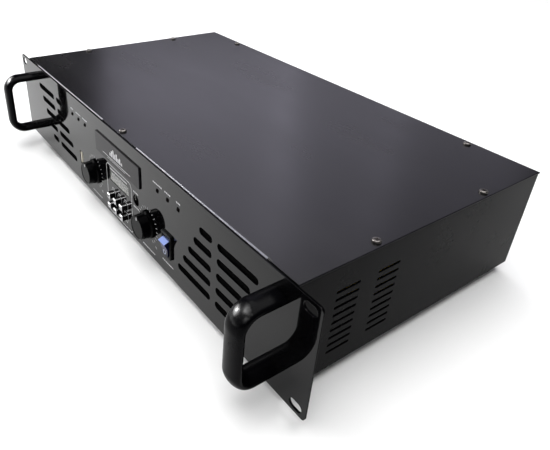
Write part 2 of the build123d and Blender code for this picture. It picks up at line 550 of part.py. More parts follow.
def fan_rotor():
    """Hub cup with seven pitched blades, on a pin that runs in the frame's bush."""
    hub = rod_y(FAN_X, FAN_Z, FAN_HUB_R, FAN_Y0 + 4.0, FAN_Y1 - 2.5)
    hub -= rod_y(FAN_X, FAN_Z, FAN_HUB_R - 1.5, FAN_Y0 + 3.0, FAN_Y1 - 4.5)
    hub += rod_y(FAN_X, FAN_Z, 1.5, FAN_Y0 + 0.4, FAN_Y1 - 4.0)
    reach = FAN_R - 1.1
    sweep_zone = rod_y(0, 0, reach, -8.6, 8.6) - rod_y(0, 0, FAN_HUB_R - 1.0, -9, 9)
    middle_y = (FAN_Y0 + 4.0 + FAN_Y1 - 2.5) / 2
    blades = []
    for i in range(FAN_BLADES):
        blade = Pos((reach + FAN_HUB_R) / 2, 0, 0) * Rot(38, 0, 0) * Box(reach - FAN_HUB_R + 4, 20.0, 1.5)
        turned = Rot(0, 360 / FAN_BLADES * i, 0) * (blade & sweep_zone)
        blades.append(Pos(FAN_X, middle_y, FAN_Z) * turned)
    return hub + blades


def fan_guard():
    """Stamped finger guard: four flat rings on two crossed bars, with an eye at each corner."""
    y0, y1, wire = REAR_FACE, REAR_FACE + 2.0, 1.0
    span = FAN_HOLES * 2 ** 0.5
    guard = None
    for turn in (45, 135):
        bar = Pos(FAN_X, (y0 + y1) / 2, FAN_Z) * Rot(0, turn, 0) * Box(span, y1 - y0, 2 * wire)
        guard = bar if guard is None else guard + bar
    for radius in (10.0, 19.0, 28.0, 37.0):
        ring = rod_y(FAN_X, FAN_Z, radius + wire, y0, y1)
        guard += ring - rod_y(FAN_X, FAN_Z, radius - wire, y0 - 1, y1 + 1)
    guard += [rod_y(x, z, 4.0, y0, y1) for x, z in fan_corners()]
    return guard - [rod_y(x, z, 2.1, y0 - 1, y1 + 1) for x, z in fan_corners()]


def fan_screws():
    one = screw(3.4, 2.2, 1.9, 14.0)
    return [facing_back(x, REAR_FACE + 2.0, z, one) for x, z in fan_corners()]


# ---- power supply and amplifier -----------------------------------------------------
def toroidal_transformer():
    """Wound ring: a rounded rectangle turned about the vertical axis."""
    inner = 17.0
    section = RectangleRounded(TORUS_R - inner, TORUS_H, 9.0)
    ring = revolve(Plane.XZ * Pos((TORUS_R + inner) / 2, 0) * section, Axis.Z)
    return Pos(TORUS_X, TORUS_Y, FLOOR + 2.0 + TORUS_H / 2) * ring


def transformer_clamp():
    """Rubber pad under the ring, dished plate on top, and the bolt and nut through both."""
    top = FLOOR + 2.0 + TORUS_H
    pad = rod_z(TORUS_X, TORUS_Y, 46.0, FLOOR, FLOOR + 2.0)
    pad -= rod_z(TORUS_X, TORUS_Y, 4.0, FLOOR - 1, FLOOR + 3)
    plate = rod_z(TORUS_X, TORUS_Y, 34.0, top, top + 2.0) - rod_z(TORUS_X, TORUS_Y, 3.2, top - 1, top + 3)
    bolt = rod_z(TORUS_X, TORUS_Y, 3.0, BODY_Z, top + 10.0)
    bolt += Pos(TORUS_X, TORUS_Y, BODY_Z - 3.5) * extrude(RegularPolygon(5.6, 6), 3.5)
    nut = Pos(TORUS_X, TORUS_Y, top + 2.0) * extrude(RegularPolygon(5.8, 6), 5.0)
    return [pad, plate, bolt, nut - rod_z(TORUS_X, TORUS_Y, 3.05, top, top + 9.0)]


def corners(x, y, w, length, inset=4.0):
    return [(x + sx * (w / 2 - inset), y + sy * (length / 2 - inset)) for sx in (-1, 1) for sy in (-1, 1)]


BOARD_Z = FLOOR + SPACER_H
SPACER_PLACES = corners(SUPPLY_X, SUPPLY_Y, SUPPLY_W, SUPPLY_L) + corners(AMP_X, AMP_Y, AMP_W, AMP_L)


def power_supply_board():
    """Board with the bridge rectifier on its middle."""
    board = block(SUPPLY_X - SUPPLY_W / 2, SUPPLY_X + SUPPLY_W / 2, SUPPLY_Y - SUPPLY_L / 2,
                  SUPPLY_Y + SUPPLY_L / 2, BOARD_Z, BOARD_Z + BOARD_T)
    bridge = block(SUPPLY_X - 14, SUPPLY_X + 14, SUPPLY_Y - 6, SUPPLY_Y + 6, BOARD_Z, BOARD_Z + 20.0)
    return board + bridge


def filter_capacitors():
    base = BOARD_Z + BOARD_T
    cans = []
    for dx in both_sides(19.0):
        for dy in both_sides(26.0):
            can = rod_z(SUPPLY_X + dx, SUPPLY_Y + dy, 15.0, base, base + 42.0)
            cans.append(fillet(can.edges().group_by(Axis.Z)[-1], 1.5))
    return cans


def amplifier_board():
    """Board with its output relay and four small capacitors."""
    top = BOARD_Z + BOARD_T
    board = block(AMP_X - AMP_W / 2, AMP_X + AMP_W / 2, AMP_Y - AMP_L / 2, AMP_Y + AMP_L / 2, BOARD_Z, top)
    board += block(AMP_X - 11, AMP_X + 11, AMP_Y + 36, AMP_Y + 56, top, top + 17.0)
    for dx in both_sides(12.0):
        for dy in (-34.0, -12.0):
            board += rod_z(AMP_X + dx, AMP_Y + dy, 6.5, top, top + 20.0)
    return board


def heatsink(side):
    """Finned extrusion beside the board; the fins lie along the air stream."""
    spine_x = AMP_X + side * (AMP_W / 2 + 3.5)
    y0, y1 = AMP_Y - AMP_L / 2, AMP_Y + AMP_L / 2
    sink = block(spine_x - 2.5, spine_x + 2.5, y0, y1, FLOOR, FLOOR + 66.0)
    for i in range(9):
        z = FLOOR + 1.0 + i * 8.0
        x0, x1 = sorted((spine_x, spine_x + side * 32.0))
        sink += block(x0, x1, y0, y1, z - 1.0, z + 1.0)
    return sink


def output_transistors():
    """Eight plastic power packages on the spines, each with three legs down to the board."""
    devices = []
    base = BOARD_Z + BOARD_T
    for side in (-1, 1):
        face = AMP_X + side * (AMP_W / 2 + 1.0)
        for step in (-1.5, -0.5, 0.5, 1.5):
            y = AMP_Y + step * 27.0
            x0, x1 = sorted((face, face - side * 4.8))
            device = block(x0, x1, y - 7.8, y + 7.8, base + 6.0, base + 26.0)
            for dy in (-5.4, 0, 5.4):
                middle = face - side * 2.4
                device += block(middle - 0.4, middle + 0.4, y + dy - 0.6, y + dy + 0.6, base, base + 6.0)
            devices.append(device)
    return devices


def board_spacers():
    return [rod_z(x, y, 3.0, FLOOR, BOARD_Z) for x, y in SPACER_PLACES]


def mains_harness():
    """Sleeved mains leads from the inlet, round the transformer, to the power switch."""
    z = SWITCH_Z
    points = [(INLET_X, REAR_FACE - 19.0, INLET_Z), (INLET_X, 206, INLET_Z), (209, 188, 40), (209, 120, 30),
              (209, 52, z), (180, 36, z), (100, 36, z), (SWITCH_X, 32, z), (SWITCH_X, 24.0, z)]
    path = FilletPolyline(*points, radius=[6, 12, 20, 20, 14, 14, 7])
    return sweep(Plane(origin=path @ 0, z_dir=path % 0) * Circle(2.8), path)


def ribbon_cable():
    """Flat cable from the control board, over and down on to the amplifier board."""
    x = AMP_X + 24.0
    back, front = AMP_Y - AMP_L / 2, BOARD_Y + BOARD_T
    points = [(x, front, PANEL_Z + 40), (x, front + 20, PANEL_Z + 40), (x, back + 6, PANEL_Z + 40),
              (x, back + 6, BOARD_Z + BOARD_T)]
    path = FilletPolyline(points[0], points[2], points[3], radius=10)
    return sweep(Plane(origin=path @ 0, z_dir=path % 0, x_dir=(1, 0, 0)) * Rectangle(20.0, 1.0), path)


# ---- write every node ---------------------------------------------------------------
save("front_panel", front_panel())
save("handle_left", handle(-HANDLE_X))
save("handle_right", handle(HANDLE_X))
save("handle_screws", *handle_screws())
save("badge_plate", badge_plate())
save("vent_screens", *vent_screens())
save("signal_leds", *[led(x, z) for x, z in led_places()])
save("led_spacers", *[led_spacer(x, z) for x, z in led_places()])
save("control_board", control_board())
save("display_lens", display_lens())
save("display_module", display_module())
save("usb_port", usb_port())
save("usb_tongue", usb_tongue())
save("aux_jack", aux_jack())
for number, (bx, bz) in enumerate(button_places(), start=1):
    save(f"media_button_{number}", media_button(bx, bz))
save("tact_switches", *[tact_switch(x, z) for x, z in button_places()])
for label, kx in (("left", -KNOB_X), ("right", KNOB_X)):
    save(f"volume_knob_{label}", volume_knob(kx))
    save(f"volume_shaft_{label}", volume_shaft(kx))
save("volume_pots", volume_pot(-KNOB_X), volume_pot(KNOB_X))
save("pot_nuts", pot_nut(-KNOB_X), pot_nut(KNOB_X))
save("power_switch_housing", power_switch_housing())
save("power_rocker", power_rocker())
save("chassis_tray", chassis_tray())
save("top_cover", top_cover())
save("lid_rails", *lid_rails())
save("cover_screws", *cover_screws())
save("rear_panel", rear_panel())
save("chassis_screws", *chassis_screws())
save("feet", *[foot(x, y) for x in both_sides(FOOT_X) for y in FOOT_YS])
save("foot_screws", *foot_screws())
save("mains_inlet", mains_inlet())
save("inlet_pins", *inlet_pins())
save("fuse_holder", fuse_holder())
save("fuse_cap", fuse_cap())
save("speaker_sockets", *[speaker_socket(x) for x in SPEAKER_XS])
save("line_sockets", *[line_socket(x, z) for x, z in line_places()])
save("input_jacks", *[input_jack(x) for x in JACK_XS])
save("mode_switch", mode_switch())
save("mode_slider", mode_slider())
save("fan_frame", fan_frame())
save("fan_rotor", fan_rotor())
save("fan_guard", fan_guard())
save("fan_screws", *fan_screws(), *inlet_screws())
save("toroidal_transformer", toroidal_transformer())
save("transformer_clamp", *transformer_clamp())
save("power_supply_board", power_supply_board())
save("filter_capacitors", *filter_capacitors())
save("amplifier_board", amplifier_board())
save("heatsinks", heatsink(-1), heatsink(1))
save("output_transistors", *output_transistors())
save("board_spacers", *board_spacers())
save("mains_harness", mains_harness())
save("ribbon_cable", ribbon_cable())
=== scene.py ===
import json
from math import cos, pi, radians, sin

import bmesh
import bpy
from mathutils import Matrix, Vector


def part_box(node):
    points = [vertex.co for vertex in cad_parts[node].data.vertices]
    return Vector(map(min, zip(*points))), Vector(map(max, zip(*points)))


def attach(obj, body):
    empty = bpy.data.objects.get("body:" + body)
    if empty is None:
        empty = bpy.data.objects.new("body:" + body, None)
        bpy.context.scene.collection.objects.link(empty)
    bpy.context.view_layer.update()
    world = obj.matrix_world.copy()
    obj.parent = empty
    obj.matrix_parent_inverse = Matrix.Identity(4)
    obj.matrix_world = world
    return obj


# Looks of the rack power amplifier. Metres, in the CAD model's frame.

MM = 0.001
INK = 0.03 * MM                      # how far printed marks stand off the panel

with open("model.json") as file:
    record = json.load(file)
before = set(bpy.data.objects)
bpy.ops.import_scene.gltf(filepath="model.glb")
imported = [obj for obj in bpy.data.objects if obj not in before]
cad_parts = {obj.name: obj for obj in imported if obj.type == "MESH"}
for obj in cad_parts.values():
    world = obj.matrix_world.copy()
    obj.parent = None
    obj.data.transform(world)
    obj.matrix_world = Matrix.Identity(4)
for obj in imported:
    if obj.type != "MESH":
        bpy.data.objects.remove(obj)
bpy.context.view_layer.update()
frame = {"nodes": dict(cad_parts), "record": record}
nodes = frame["nodes"]


def low(node):
    return Vector(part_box(node)[0])


def high(node):
    return Vector(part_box(node)[1])


def middle(node):
    return (low(node) + high(node)) / 2


places = {mount["name"]: Vector(mount["pos_m"]) for mount in frame["record"]["mounts"]}
PANEL_FACE = low("front_panel").y
PANEL_FOOT = low("front_panel").z
REAR_FACE = high("rear_panel").y
FOLD_FROM, FOLD_TO = 30.5 * MM, 193.0 * MM      # where the lid's front edge is folded, either side


# ---- materials ----------------------------------------------------------------------
class Look:
    """One procedural material: tones drift in patches, gloss is smudged, relief is fine."""

    def __init__(self, name, metallic=0.0, ior=1.5, stretch=(1, 1, 1)):
        self.mat = bpy.data.materials.new(name)
        self.mat.use_nodes = True
        self.tree = self.mat.node_tree
        self.bsdf = self.tree.nodes["Principled BSDF"]
        self.bsdf.inputs["Metallic"].default_value = metallic
        self.bsdf.inputs["IOR"].default_value = ior
        self.coords = self.add("ShaderNodeTexCoord").outputs["Object"]
        mapping = self.add("ShaderNodeMapping")
        mapping.inputs["Scale"].default_value = stretch
        self.join(self.coords, mapping.inputs["Vector"])
        self.place = mapping.outputs["Vector"]

    def add(self, kind, **settings):
        node = self.tree.nodes.new(kind)
        for key, value in settings.items():
            setattr(node, key, value)
        return node

    def join(self, output, socket):
        self.tree.links.new(output, socket)

    def noise(self, size, detail=4.0, lumps=0.55):
        node = self.add("ShaderNodeTexNoise")
        self.join(self.place, node.inputs["Vector"])
        node.inputs["Scale"].default_value = 1 / size
        node.inputs["Detail"].default_value = detail
        node.inputs["Roughness"].default_value = lumps
        return node.outputs["Fac"]

    def math(self, kind, a, b, clamp=False):
        node = self.add("ShaderNodeMath", operation=kind, use_clamp=clamp)
        for socket, value in zip(node.inputs, (a, b)):
            if isinstance(value, (int, float)):
                socket.default_value = value
            else:
                self.join(value, socket)
        return node.outputs[0]

    def spread(self, value, start, end, first, last):
        node = self.add("ShaderNodeMapRange")
        self.join(value, node.inputs["Value"])
        for key, number in (("From Min", start), ("From Max", end), ("To Min", first), ("To Max", last)):
            node.inputs[key].default_value = number
        return node.outputs["Result"]

    def mix(self, factor, first, second):
        node = self.add("ShaderNodeMix", data_type="RGBA")
        self.join(factor, node.inputs["Factor"])
        for socket, value in ((node.inputs[6], first), (node.inputs[7], second)):
            if isinstance(value, tuple):
                socket.default_value = (*value, 1)
            else:
                self.join(value, socket)
        return node.outputs[2]

    def axis(self, name):
        node = self.add("ShaderNodeSeparateXYZ")
        self.join(self.coords, node.inputs[0])
        return node.outputs[name]

    def near(self, name, values, inner, outer):
        """Mask that is 1 close to one of the given places along an axis."""
        mask = 0
        for value in values:
            gap = self.math("ABSOLUTE", self.math("SUBTRACT", self.axis(name), value), 0)
            mask = self.math("MAXIMUM", mask, self.spread(gap, inner, outer, 1, 0))
        return mask

    def colour(self, output):
        self.join(output, self.bsdf.inputs["Base Color"])

    def tones(self, first, second, size, detail=4.0):
        value = self.spread(self.noise(size, detail), 0.35, 0.65, 0, 1)
        output = self.mix(value, first, second)
        self.colour(output)
        return output

    def gloss(self, smooth, rough, size):
        smudge = self.spread(self.noise(size, 5.0, 0.6), 0.3, 0.7, smooth, rough)
        self.join(smudge, self.bsdf.inputs["Roughness"])

    def relief(self, height, depth, strength=1.0, edge=0.0):
        bump = self.add("ShaderNodeBump")
        bump.inputs["Strength"].default_value = strength
        bump.inputs["Distance"].default_value = depth
        self.join(height, bump.inputs["Height"])
        if edge:
            bevel = self.add("ShaderNodeBevel", samples=4)
            bevel.inputs["Radius"].default_value = edge
            self.join(bevel.outputs["Normal"], bump.inputs["Normal"])
        self.join(bump.outputs["Normal"], self.bsdf.inputs["Normal"])
        return self


def panel_gloss():
    """Mirror-gloss black lacquer with faint waves and wiped smudges; cut edges are bare and dull."""
    look = Look("panel_gloss", ior=1.24)
    look.tones((0.0010, 0.0010, 0.0012), (0.0020, 0.0020, 0.0022), 40 * MM)
    look.gloss(0.02, 0.06, 26 * MM)
    shine = look.spread(look.axis("Y"), PANEL_FACE + 0.25 * MM, PANEL_FACE + 0.4 * MM, 0.5, 0.04)
    look.join(shine, look.bsdf.inputs["Specular IOR Level"])
    return look.relief(look.noise(7 * MM, 1.0), 0.014 * MM, 0.5, edge=0.3 * MM)


def cover_paint():
    """Satin charcoal paint: fine grain, wiping marks, dust specks, and a painted highlight along the front
    folds.
    """
    look = Look("cover_paint", stretch=(0.45, 1.5, 1))
    base = look.tones((0.0014, 0.0013, 0.0018), (0.0032, 0.0029, 0.0038), 60 * MM)
    specks = look.spread(look.noise(0.9 * MM, 2.0), 0.72, 0.78, 0, 0.4)
    dusty = look.mix(specks, base, (0.03, 0.03, 0.033))
    front, edge = low("top_cover").y, high("top_cover").x
    side = look.math("ABSOLUTE", look.axis("X"), 0)
    shine = look.spread(side, edge - 0.9 * MM, edge - 0.7 * MM, 0.5, 0.04)
    look.join(shine, look.bsdf.inputs["Specular IOR Level"])
    inner = look.math("GREATER_THAN", side, FOLD_FROM)
    outer = look.math("LESS_THAN", side, FOLD_TO)
    along = look.math("MULTIPLY", inner, outer)
    bend = look.spread(look.axis("Y"), front + 0.6 * MM, front + 1.15 * MM, 1, 0)
    # The front folds get a lighter paint colour: a painted highlight on the bend.
    painted_fold_highlight = look.math("MULTIPLY", along, bend)
    look.colour(look.mix(painted_fold_highlight, dusty, (0.17, 0.17, 0.20)))
    look.gloss(0.22, 0.29, 75 * MM)
    return look.relief(look.noise(0.45 * MM, 3.0), 0.012 * MM, 0.3, edge=0.2 * MM)


def tray_paint():
    """The same paint family on the sides and the back, a little smoother."""
    look = Look("tray_paint", ior=1.095)
    look.tones((0.0010, 0.0010, 0.0012), (0.0022, 0.0021, 0.0024), 45 * MM)
    look.gloss(0.22, 0.3, 55 * MM)
    return look.relief(look.noise(0.45 * MM, 3.0), 0.02 * MM, 0.3, edge=0.4 * MM)


def rear_paint():
    """Rougher charcoal coat of the rear panel."""
    look = Look("rear_paint", ior=1.2)
    look.tones((0.013, 0.013, 0.014), (0.019, 0.019, 0.020), 50 * MM)
    look.gloss(0.36, 0.46, 40 * MM)
    return look.relief(look.noise(0.5 * MM, 3.0), 0.03 * MM, 0.5, edge=0.3 * MM)


def gloss_coat(name, dark, light, rough=0.12, grain=2.2 * MM, depth=0.02 * MM, ior=1.42):
    look = Look(name, ior=ior)
    look.tones(dark, light, 18 * MM)
    look.gloss(rough, rough + 0.09, 12 * MM)
    return look.relief(look.noise(grain, 2.0), depth, 0.4, edge=0.25 * MM)


def moulded(name, dark, light, rough=0.5, ior=1.5):
    """Moulded plastic or rubber: spark-eroded grain."""
    look = Look(name, ior=ior)
    look.tones(dark, light, 9 * MM)
    look.gloss(rough - 0.07, rough + 0.08, 6 * MM)
    return look.relief(look.noise(0.35 * MM, 3.0), 0.03 * MM, 0.6, edge=0.2 * MM)


def metal(name, dark, light, rough=0.25, drawn=(1, 1, 1), edge=0.15 * MM):
    """Plated, drawn or cast metal; drawn stretches the grain along an axis."""
    look = Look(name, metallic=1.0, stretch=drawn)
    look.tones(dark, light, 6 * MM)
    look.gloss(rough - 0.06, rough + 0.1, 2.5 * MM)
    return look.relief(look.noise(0.5 * MM, 3.0), 0.01 * MM, 0.5, edge=edge)


def handle_coat():
    """Black lacquer, polished by hands on the outer top bend."""
    look = gloss_coat("handle_black", (0.0008, 0.0008, 0.0011), (0.0016, 0.0016, 0.0021), 0.2, ior=1.11)
    inward, below = 5.8 * MM, 3.6 * MM           # from the bar's front and top to the middle of the bend
    bend = (middle("handle_right").x, low("handle_right").y + inward, high("handle_right").z - below)
    offsets = []
    for name, value in zip("XYZ", bend):
        along = look.math("ABSOLUTE", look.axis(name), 0) if name == "X" else look.axis(name)
        offset = look.math("SUBTRACT", along, value)
        offsets.append(look.math("MULTIPLY", offset, offset))
    squares = look.math("ADD", look.math("ADD", offsets[0], offsets[1]), offsets[2])
    near = look.math("SQRT", squares, 0)
    mottled = look.math("ADD", near, look.math("MULTIPLY", look.noise(2.5 * MM), 4 * MM))
    look.join(look.spread(mottled, 5 * MM, 9.5 * MM, 1, 0), look.bsdf.inputs["Coat Weight"])
    look.bsdf.inputs["Coat IOR"].default_value = 1.6
    look.bsdf.inputs["Coat Roughness"].default_value = 0.24
    return look


def key_cap():
    """Black moulded key whose front face and its bevel are chrome plated; a brighter plated band along the
    top right edge is a painted highlight.
    """
    look = metal("button_chrome", (0.36, 0.36, 0.37), (0.46, 0.46, 0.47), 0.16, edge=0)
    front = low("media_button_1").y
    face = look.spread(look.axis("Y"), front + 0.62 * MM, front + 0.66 * MM, 1, 0)
    flange, half_cap = 1.6 * MM, 2.4 * MM        # the flange behind the panel is taller than the cap
    tops = [high(f"media_button_{number}").z - flange for number in (1, 4)]
    sides = [middle(f"media_button_{number}").x + half_cap for number in (1, 2, 3)]
    level = look.near("Z", tops, 0.3 * MM, 0.4 * MM)
    # Painted highlight: the band along the top right edge is plated in a brighter colour than the face.
    rim = look.math("MULTIPLY", level, look.near("X", sides, 0.9 * MM, 1.2 * MM))
    plated = look.math("MAXIMUM", face, rim)
    chrome = look.bsdf.inputs["Base Color"].links[0].from_socket
    # Colour 0.85 goes to the painted highlight band, the chrome colour to the face.
    bright = look.mix(face, (0.85, 0.85, 0.86), chrome)
    look.colour(look.mix(plated, (0.003, 0.003, 0.003), bright))
    look.join(plated, look.bsdf.inputs["Metallic"])
    look.bsdf.inputs["IOR"].default_value = 1.15
    return look


def open_foam():
    """Black filter foam: cell walls from a Voronoi edge pattern, with the cell centres painted darker as
    shade in the pores.
    """
    look = Look("filter_foam", ior=1.05)
    cells = look.add("ShaderNodeTexVoronoi", feature="DISTANCE_TO_EDGE")
    look.join(look.place, cells.inputs["Vector"])
    cells.inputs["Scale"].default_value = 1 / (1.1 * MM)
    walls = look.spread(cells.outputs["Distance"], 0.02, 0.3, 1, 0)
    # The pores take the darker colour: painted shade.
    look.colour(look.mix(walls, (0.0004, 0.0004, 0.0004), (0.004, 0.004, 0.004)))
    look.gloss(0.85, 0.98, 3 * MM)
    return look.relief(walls, 0.6 * MM)


def circuit_board():
    """Green solder mask with lighter copper runs under it."""
    look = Look("board_green")
    bricks = look.add("ShaderNodeTexBrick", offset=0.37)
    look.join(look.place, bricks.inputs["Vector"])
    bricks.inputs["Scale"].default_value = 1 / (14 * MM)
    bricks.inputs["Mortar Size"].default_value = 0.03
    runs = look.mix(bricks.outputs["Fac"], (0.006, 0.045, 0.018), (0.02, 0.11, 0.045))
    look.colour(look.mix(look.spread(look.noise(5 * MM), 0.4, 0.7, 0, 0.5), runs, (0.008, 0.05, 0.022)))
    look.gloss(0.25, 0.4, 8 * MM)
    return look.relief(bricks.outputs["Fac"], 0.03 * MM, 0.6)


def dot_display():
    """Grey reflective display: rows of small cells, some of them bright, in random groups; its glow is
    painted light.
    """
    look = Look("display_face")
    cell = 1.1 * MM
    inside = []
    for name in ("X", "Z"):
        step = look.math("DIVIDE", look.axis(name), cell)
        half = look.math("ABSOLUTE", look.math("SUBTRACT", look.math("FRACT", step, 0), 0.5), 0)
        inside.append(look.math("LESS_THAN", half, 0.34))
    dots = look.math("MULTIPLY", inside[0], inside[1])
    groups = look.spread(look.noise(1.3 * MM, 2.0), 0.49, 0.55, 0, 1)
    bright = look.math("MULTIPLY", dots, groups)
    patches = look.spread(look.noise(4 * MM), 0.4, 0.6, 0, 1)
    backing = look.mix(patches, (0.045, 0.045, 0.042), (0.07, 0.07, 0.065))
    colour = look.mix(bright, backing, (0.32, 0.32, 0.31))
    look.colour(colour)
    # The colour also drives the emission: a painted glow standing in for the light that reaches the face
    # through the pane.
    look.join(colour, look.bsdf.inputs["Emission Color"])
    look.bsdf.inputs["Emission Strength"].default_value = 0.9
    look.gloss(0.3, 0.4, 5 * MM)
    return look.relief(dots, 0.02 * MM, 0.3)


def clear_pane():
    look = Look("display_pane", ior=1.49)
    look.tones((0.85, 0.87, 0.86), (0.95, 0.96, 0.95), 8 * MM)
    look.bsdf.inputs["Transmission Weight"].default_value = 1.0
    look.gloss(0.02, 0.07, 7 * MM)
    return look.relief(look.noise(3 * MM, 1.0), 0.01 * MM, 0.3)


def rocker_plastic():
    """Blue rocker: the top end painted light blue as if lit, a deep blue waist, the bottom half painted
    grey as a reflection with a printed ring, and flanks painted near black as shade; the colour also glows
    faintly, as painted light.
    """
    look = Look("rocker_blue", ior=1.22)
    centre = middle("power_rocker")
    height = look.axis("Z")
    across = look.math("SUBTRACT", look.axis("X"), centre.x)
    patch = look.spread(look.noise(3 * MM), 0.35, 0.65, 0, 1)
    deep = look.mix(patch, (0.004, 0.004, 0.05), (0.010, 0.010, 0.10))
    # Painted light: the top end is painted light blue as if lit from above.
    glow = look.spread(height, centre.z + 1.5 * MM, centre.z + 5.5 * MM, 0, 1)
    blue_with_painted_light_top = look.mix(glow, deep, (0.22, 0.28, 0.56))
    # Painted reflection: the bottom half is painted grey.
    painted_reflection_bottom = look.spread(height, centre.z - 1.0 * MM, centre.z - 2.6 * MM, 0, 1)
    face = look.mix(painted_reflection_bottom, blue_with_painted_light_top, (0.016, 0.018, 0.030))
    ring_z = look.math("SUBTRACT", height, centre.z - 4.6 * MM)
    squares = look.math("ADD", look.math("MULTIPLY", across, across), look.math("MULTIPLY", ring_z, ring_z))
    distance = look.math("SQRT", squares, 0)
    off_ring = look.math("ABSOLUTE", look.math("SUBTRACT", distance, 1.7 * MM), 0)
    marked = look.mix(look.spread(off_ring, 0.3 * MM, 0.4 * MM, 1, 0), face, (0.26, 0.28, 0.36))
    # Painted shade: the flanks are painted near black.
    painted_shade_flanks = look.spread(look.math("ABSOLUTE", across, 0), 4.5 * MM, 4.6 * MM, 0, 1)
    colour = look.mix(painted_shade_flanks, marked, (0.002, 0.002, 0.012))
    look.colour(colour)
    # The colour also drives a faint glow, which is painted light.
    look.join(colour, look.bsdf.inputs["Emission Color"])
    look.bsdf.inputs["Emission Strength"].default_value = 0.15
    look.gloss(0.1, 0.2, 4 * MM)
    return look.relief(look.noise(1.2 * MM), 0.01 * MM, 0.4, edge=0.35 * MM)


def wound_tape():
    """Overlapping turns of polyester tape round the ring core."""
    look = Look("winding_tape")
    turned = look.add("ShaderNodeMapping")
    turned.inputs["Location"].default_value = -middle("toroidal_transformer")
    look.join(look.coords, turned.inputs["Vector"])
    radial = look.add("ShaderNodeTexGradient", gradient_type="RADIAL")
    look.join(turned.outputs["Vector"], radial.inputs["Vector"])
    turns = look.math("FRACT", look.math("MULTIPLY", radial.outputs["Fac"], 36), 0)
    edge = look.spread(turns, 0.0, 0.12, 1, 0)
    body = look.mix(look.spread(look.noise(10 * MM), 0.3, 0.7, 0, 1), (0.5, 0.33, 0.03), (0.62, 0.43, 0.06))
    look.colour(look.mix(edge, body, (0.25, 0.15, 0.01)))
    look.gloss(0.2, 0.35, 6 * MM)
    return look.relief(turns, 0.25 * MM)


def ribbed(name, colour, painted_groove_shade, pitch):
    """Flat cable or sleeve: fine parallel ribs across X, with the troughs between them painted darker as
    shade.
    """
    look = Look(name)
    ribs = look.math("SINE", look.math("MULTIPLY", look.axis("X"), 2 * pi / pitch), 0)
    # The troughs take the darker colour: painted shade in the grooves.
    base = look.mix(look.spread(ribs, -1, -0.4, 1, 0), colour, painted_groove_shade)
    look.colour(base)
    look.gloss(0.35, 0.5, 5 * MM)
    return look.relief(ribs, 0.15 * MM, 0.8)


def print_ink():
    look = Look("print_ink")
    look.tones((0.34, 0.34, 0.35), (0.52, 0.52, 0.53), 1.5 * MM)
    look.gloss(0.4, 0.55, 2 * MM)
    return look.relief(look.noise(0.3 * MM), 0.005 * MM, 0.5)


NICKEL = metal("plated_metal", (0.10, 0.092, 0.088), (0.18, 0.168, 0.16), 0.3)
LOOKS = {
    "panel_gloss": panel_gloss(),
    "handle_black": handle_coat(),
    "badge_gloss": gloss_coat("badge_gloss", (0.004, 0.0034, 0.0045), (0.008, 0.0068, 0.0085),
                              0.04, 6 * MM, 0.01 * MM, ior=1.165),
    "filter_foam": open_foam(),
    "lamp_smoke": gloss_coat("lamp_smoke", (0.0012, 0.0009, 0.0009), (0.003, 0.002, 0.002),
                             0.05, ior=1.05),
    "knob_black": gloss_coat("knob_black", (0.0006, 0.0006, 0.0008), (0.0012, 0.0012, 0.0014),
                             0.05, 1.5 * MM, ior=1.1),
    "plated_metal": NICKEL,
    "button_chrome": key_cap(),
    "display_pane": clear_pane(),
    "display_face": dot_display(),
    "black_plastic": moulded("black_plastic", (0.0012, 0.0012, 0.0012), (0.0026, 0.0026, 0.0026),
                             0.3, ior=1.15),
    "ivory_plastic": moulded("ivory_plastic", (0.55, 0.51, 0.42), (0.64, 0.60, 0.50), 0.4),
    "rocker_blue": rocker_plastic(),
    "board_green": circuit_board(),
    "cover_paint": cover_paint(),
    "tray_paint": tray_paint(),
    "zinc_steel": metal("zinc_steel", (0.46, 0.46, 0.44), (0.56, 0.56, 0.55), 0.34, (1, 4, 1)),
    "rubber_black": moulded("rubber_black", (0.011, 0.011, 0.011), (0.018, 0.018, 0.017), 0.72),
    "turned_brass": metal("turned_brass", (0.68, 0.50, 0.18), (0.80, 0.62, 0.26), 0.22, (1, 6, 1)),
    "fan_plastic": moulded("fan_plastic", (0.006, 0.006, 0.006), (0.011, 0.011, 0.011), 0.46),
    "winding_tape": wound_tape(),
    "can_sleeve": gloss_coat("can_sleeve", (0.008, 0.012, 0.04), (0.012, 0.02, 0.06), 0.2),
    "sink_aluminium": metal("sink_aluminium", (0.62, 0.62, 0.63), (0.72, 0.72, 0.73), 0.32, (1, 0.15, 4)),
    "wire_sleeve": ribbed("wire_sleeve", (0.012, 0.012, 0.012), (0.003, 0.003, 0.003), 1.4 * MM),
    "ribbon_grey": ribbed("ribbon_grey", (0.35, 0.35, 0.36), (0.15, 0.15, 0.16), 1.27 * MM),
}
INK_LOOK = print_ink()
REAR_LOOK = rear_paint()

for part in frame["record"]["subparts"]:
    look = REAR_LOOK if part["node"] == "rear_panel" else LOOKS[part["material_slot"]]
    mesh = nodes[part["node"]].data
    mesh.materials.clear()
    mesh.materials.append(look.mat)


# ---- flat printed and raised marks --------------------------------------------------
def bar(x, z, w, h):
    return [(x - w / 2, z - h / 2), (x + w / 2, z - h / 2), (x + w / 2, z + h / 2), (x - w / 2, z + h / 2)]


def rounded(x, z, w, h, r, steps=6):
    """Corner points of a rounded rectangle, anticlockwise."""
    points = []
    for number, (sx, sz) in enumerate(((1, 1), (-1, 1), (-1, -1), (1, -1))):
        for step in range(steps + 1):
            angle = (number + step / steps) * pi / 2
            points.append((x + sx * (w / 2 - r) + r * cos(angle), z + sz * (h / 2 - r) + r * sin(angle)))
    return points


def tick(x, z, angle, start, end, width):
    """Radial stroke; angle is clockwise from straight up."""
    along = (sin(angle), cos(angle))
    across = (cos(angle) * width / 2, -sin(angle) * width / 2)
    corners = []
    for reach, side in ((start, -1), (start, 1), (end, 1), (end, -1)):
        corners.append((x + along[0] * reach + side * across[0], z + along[1] * reach + side * across[1]))
    return corners


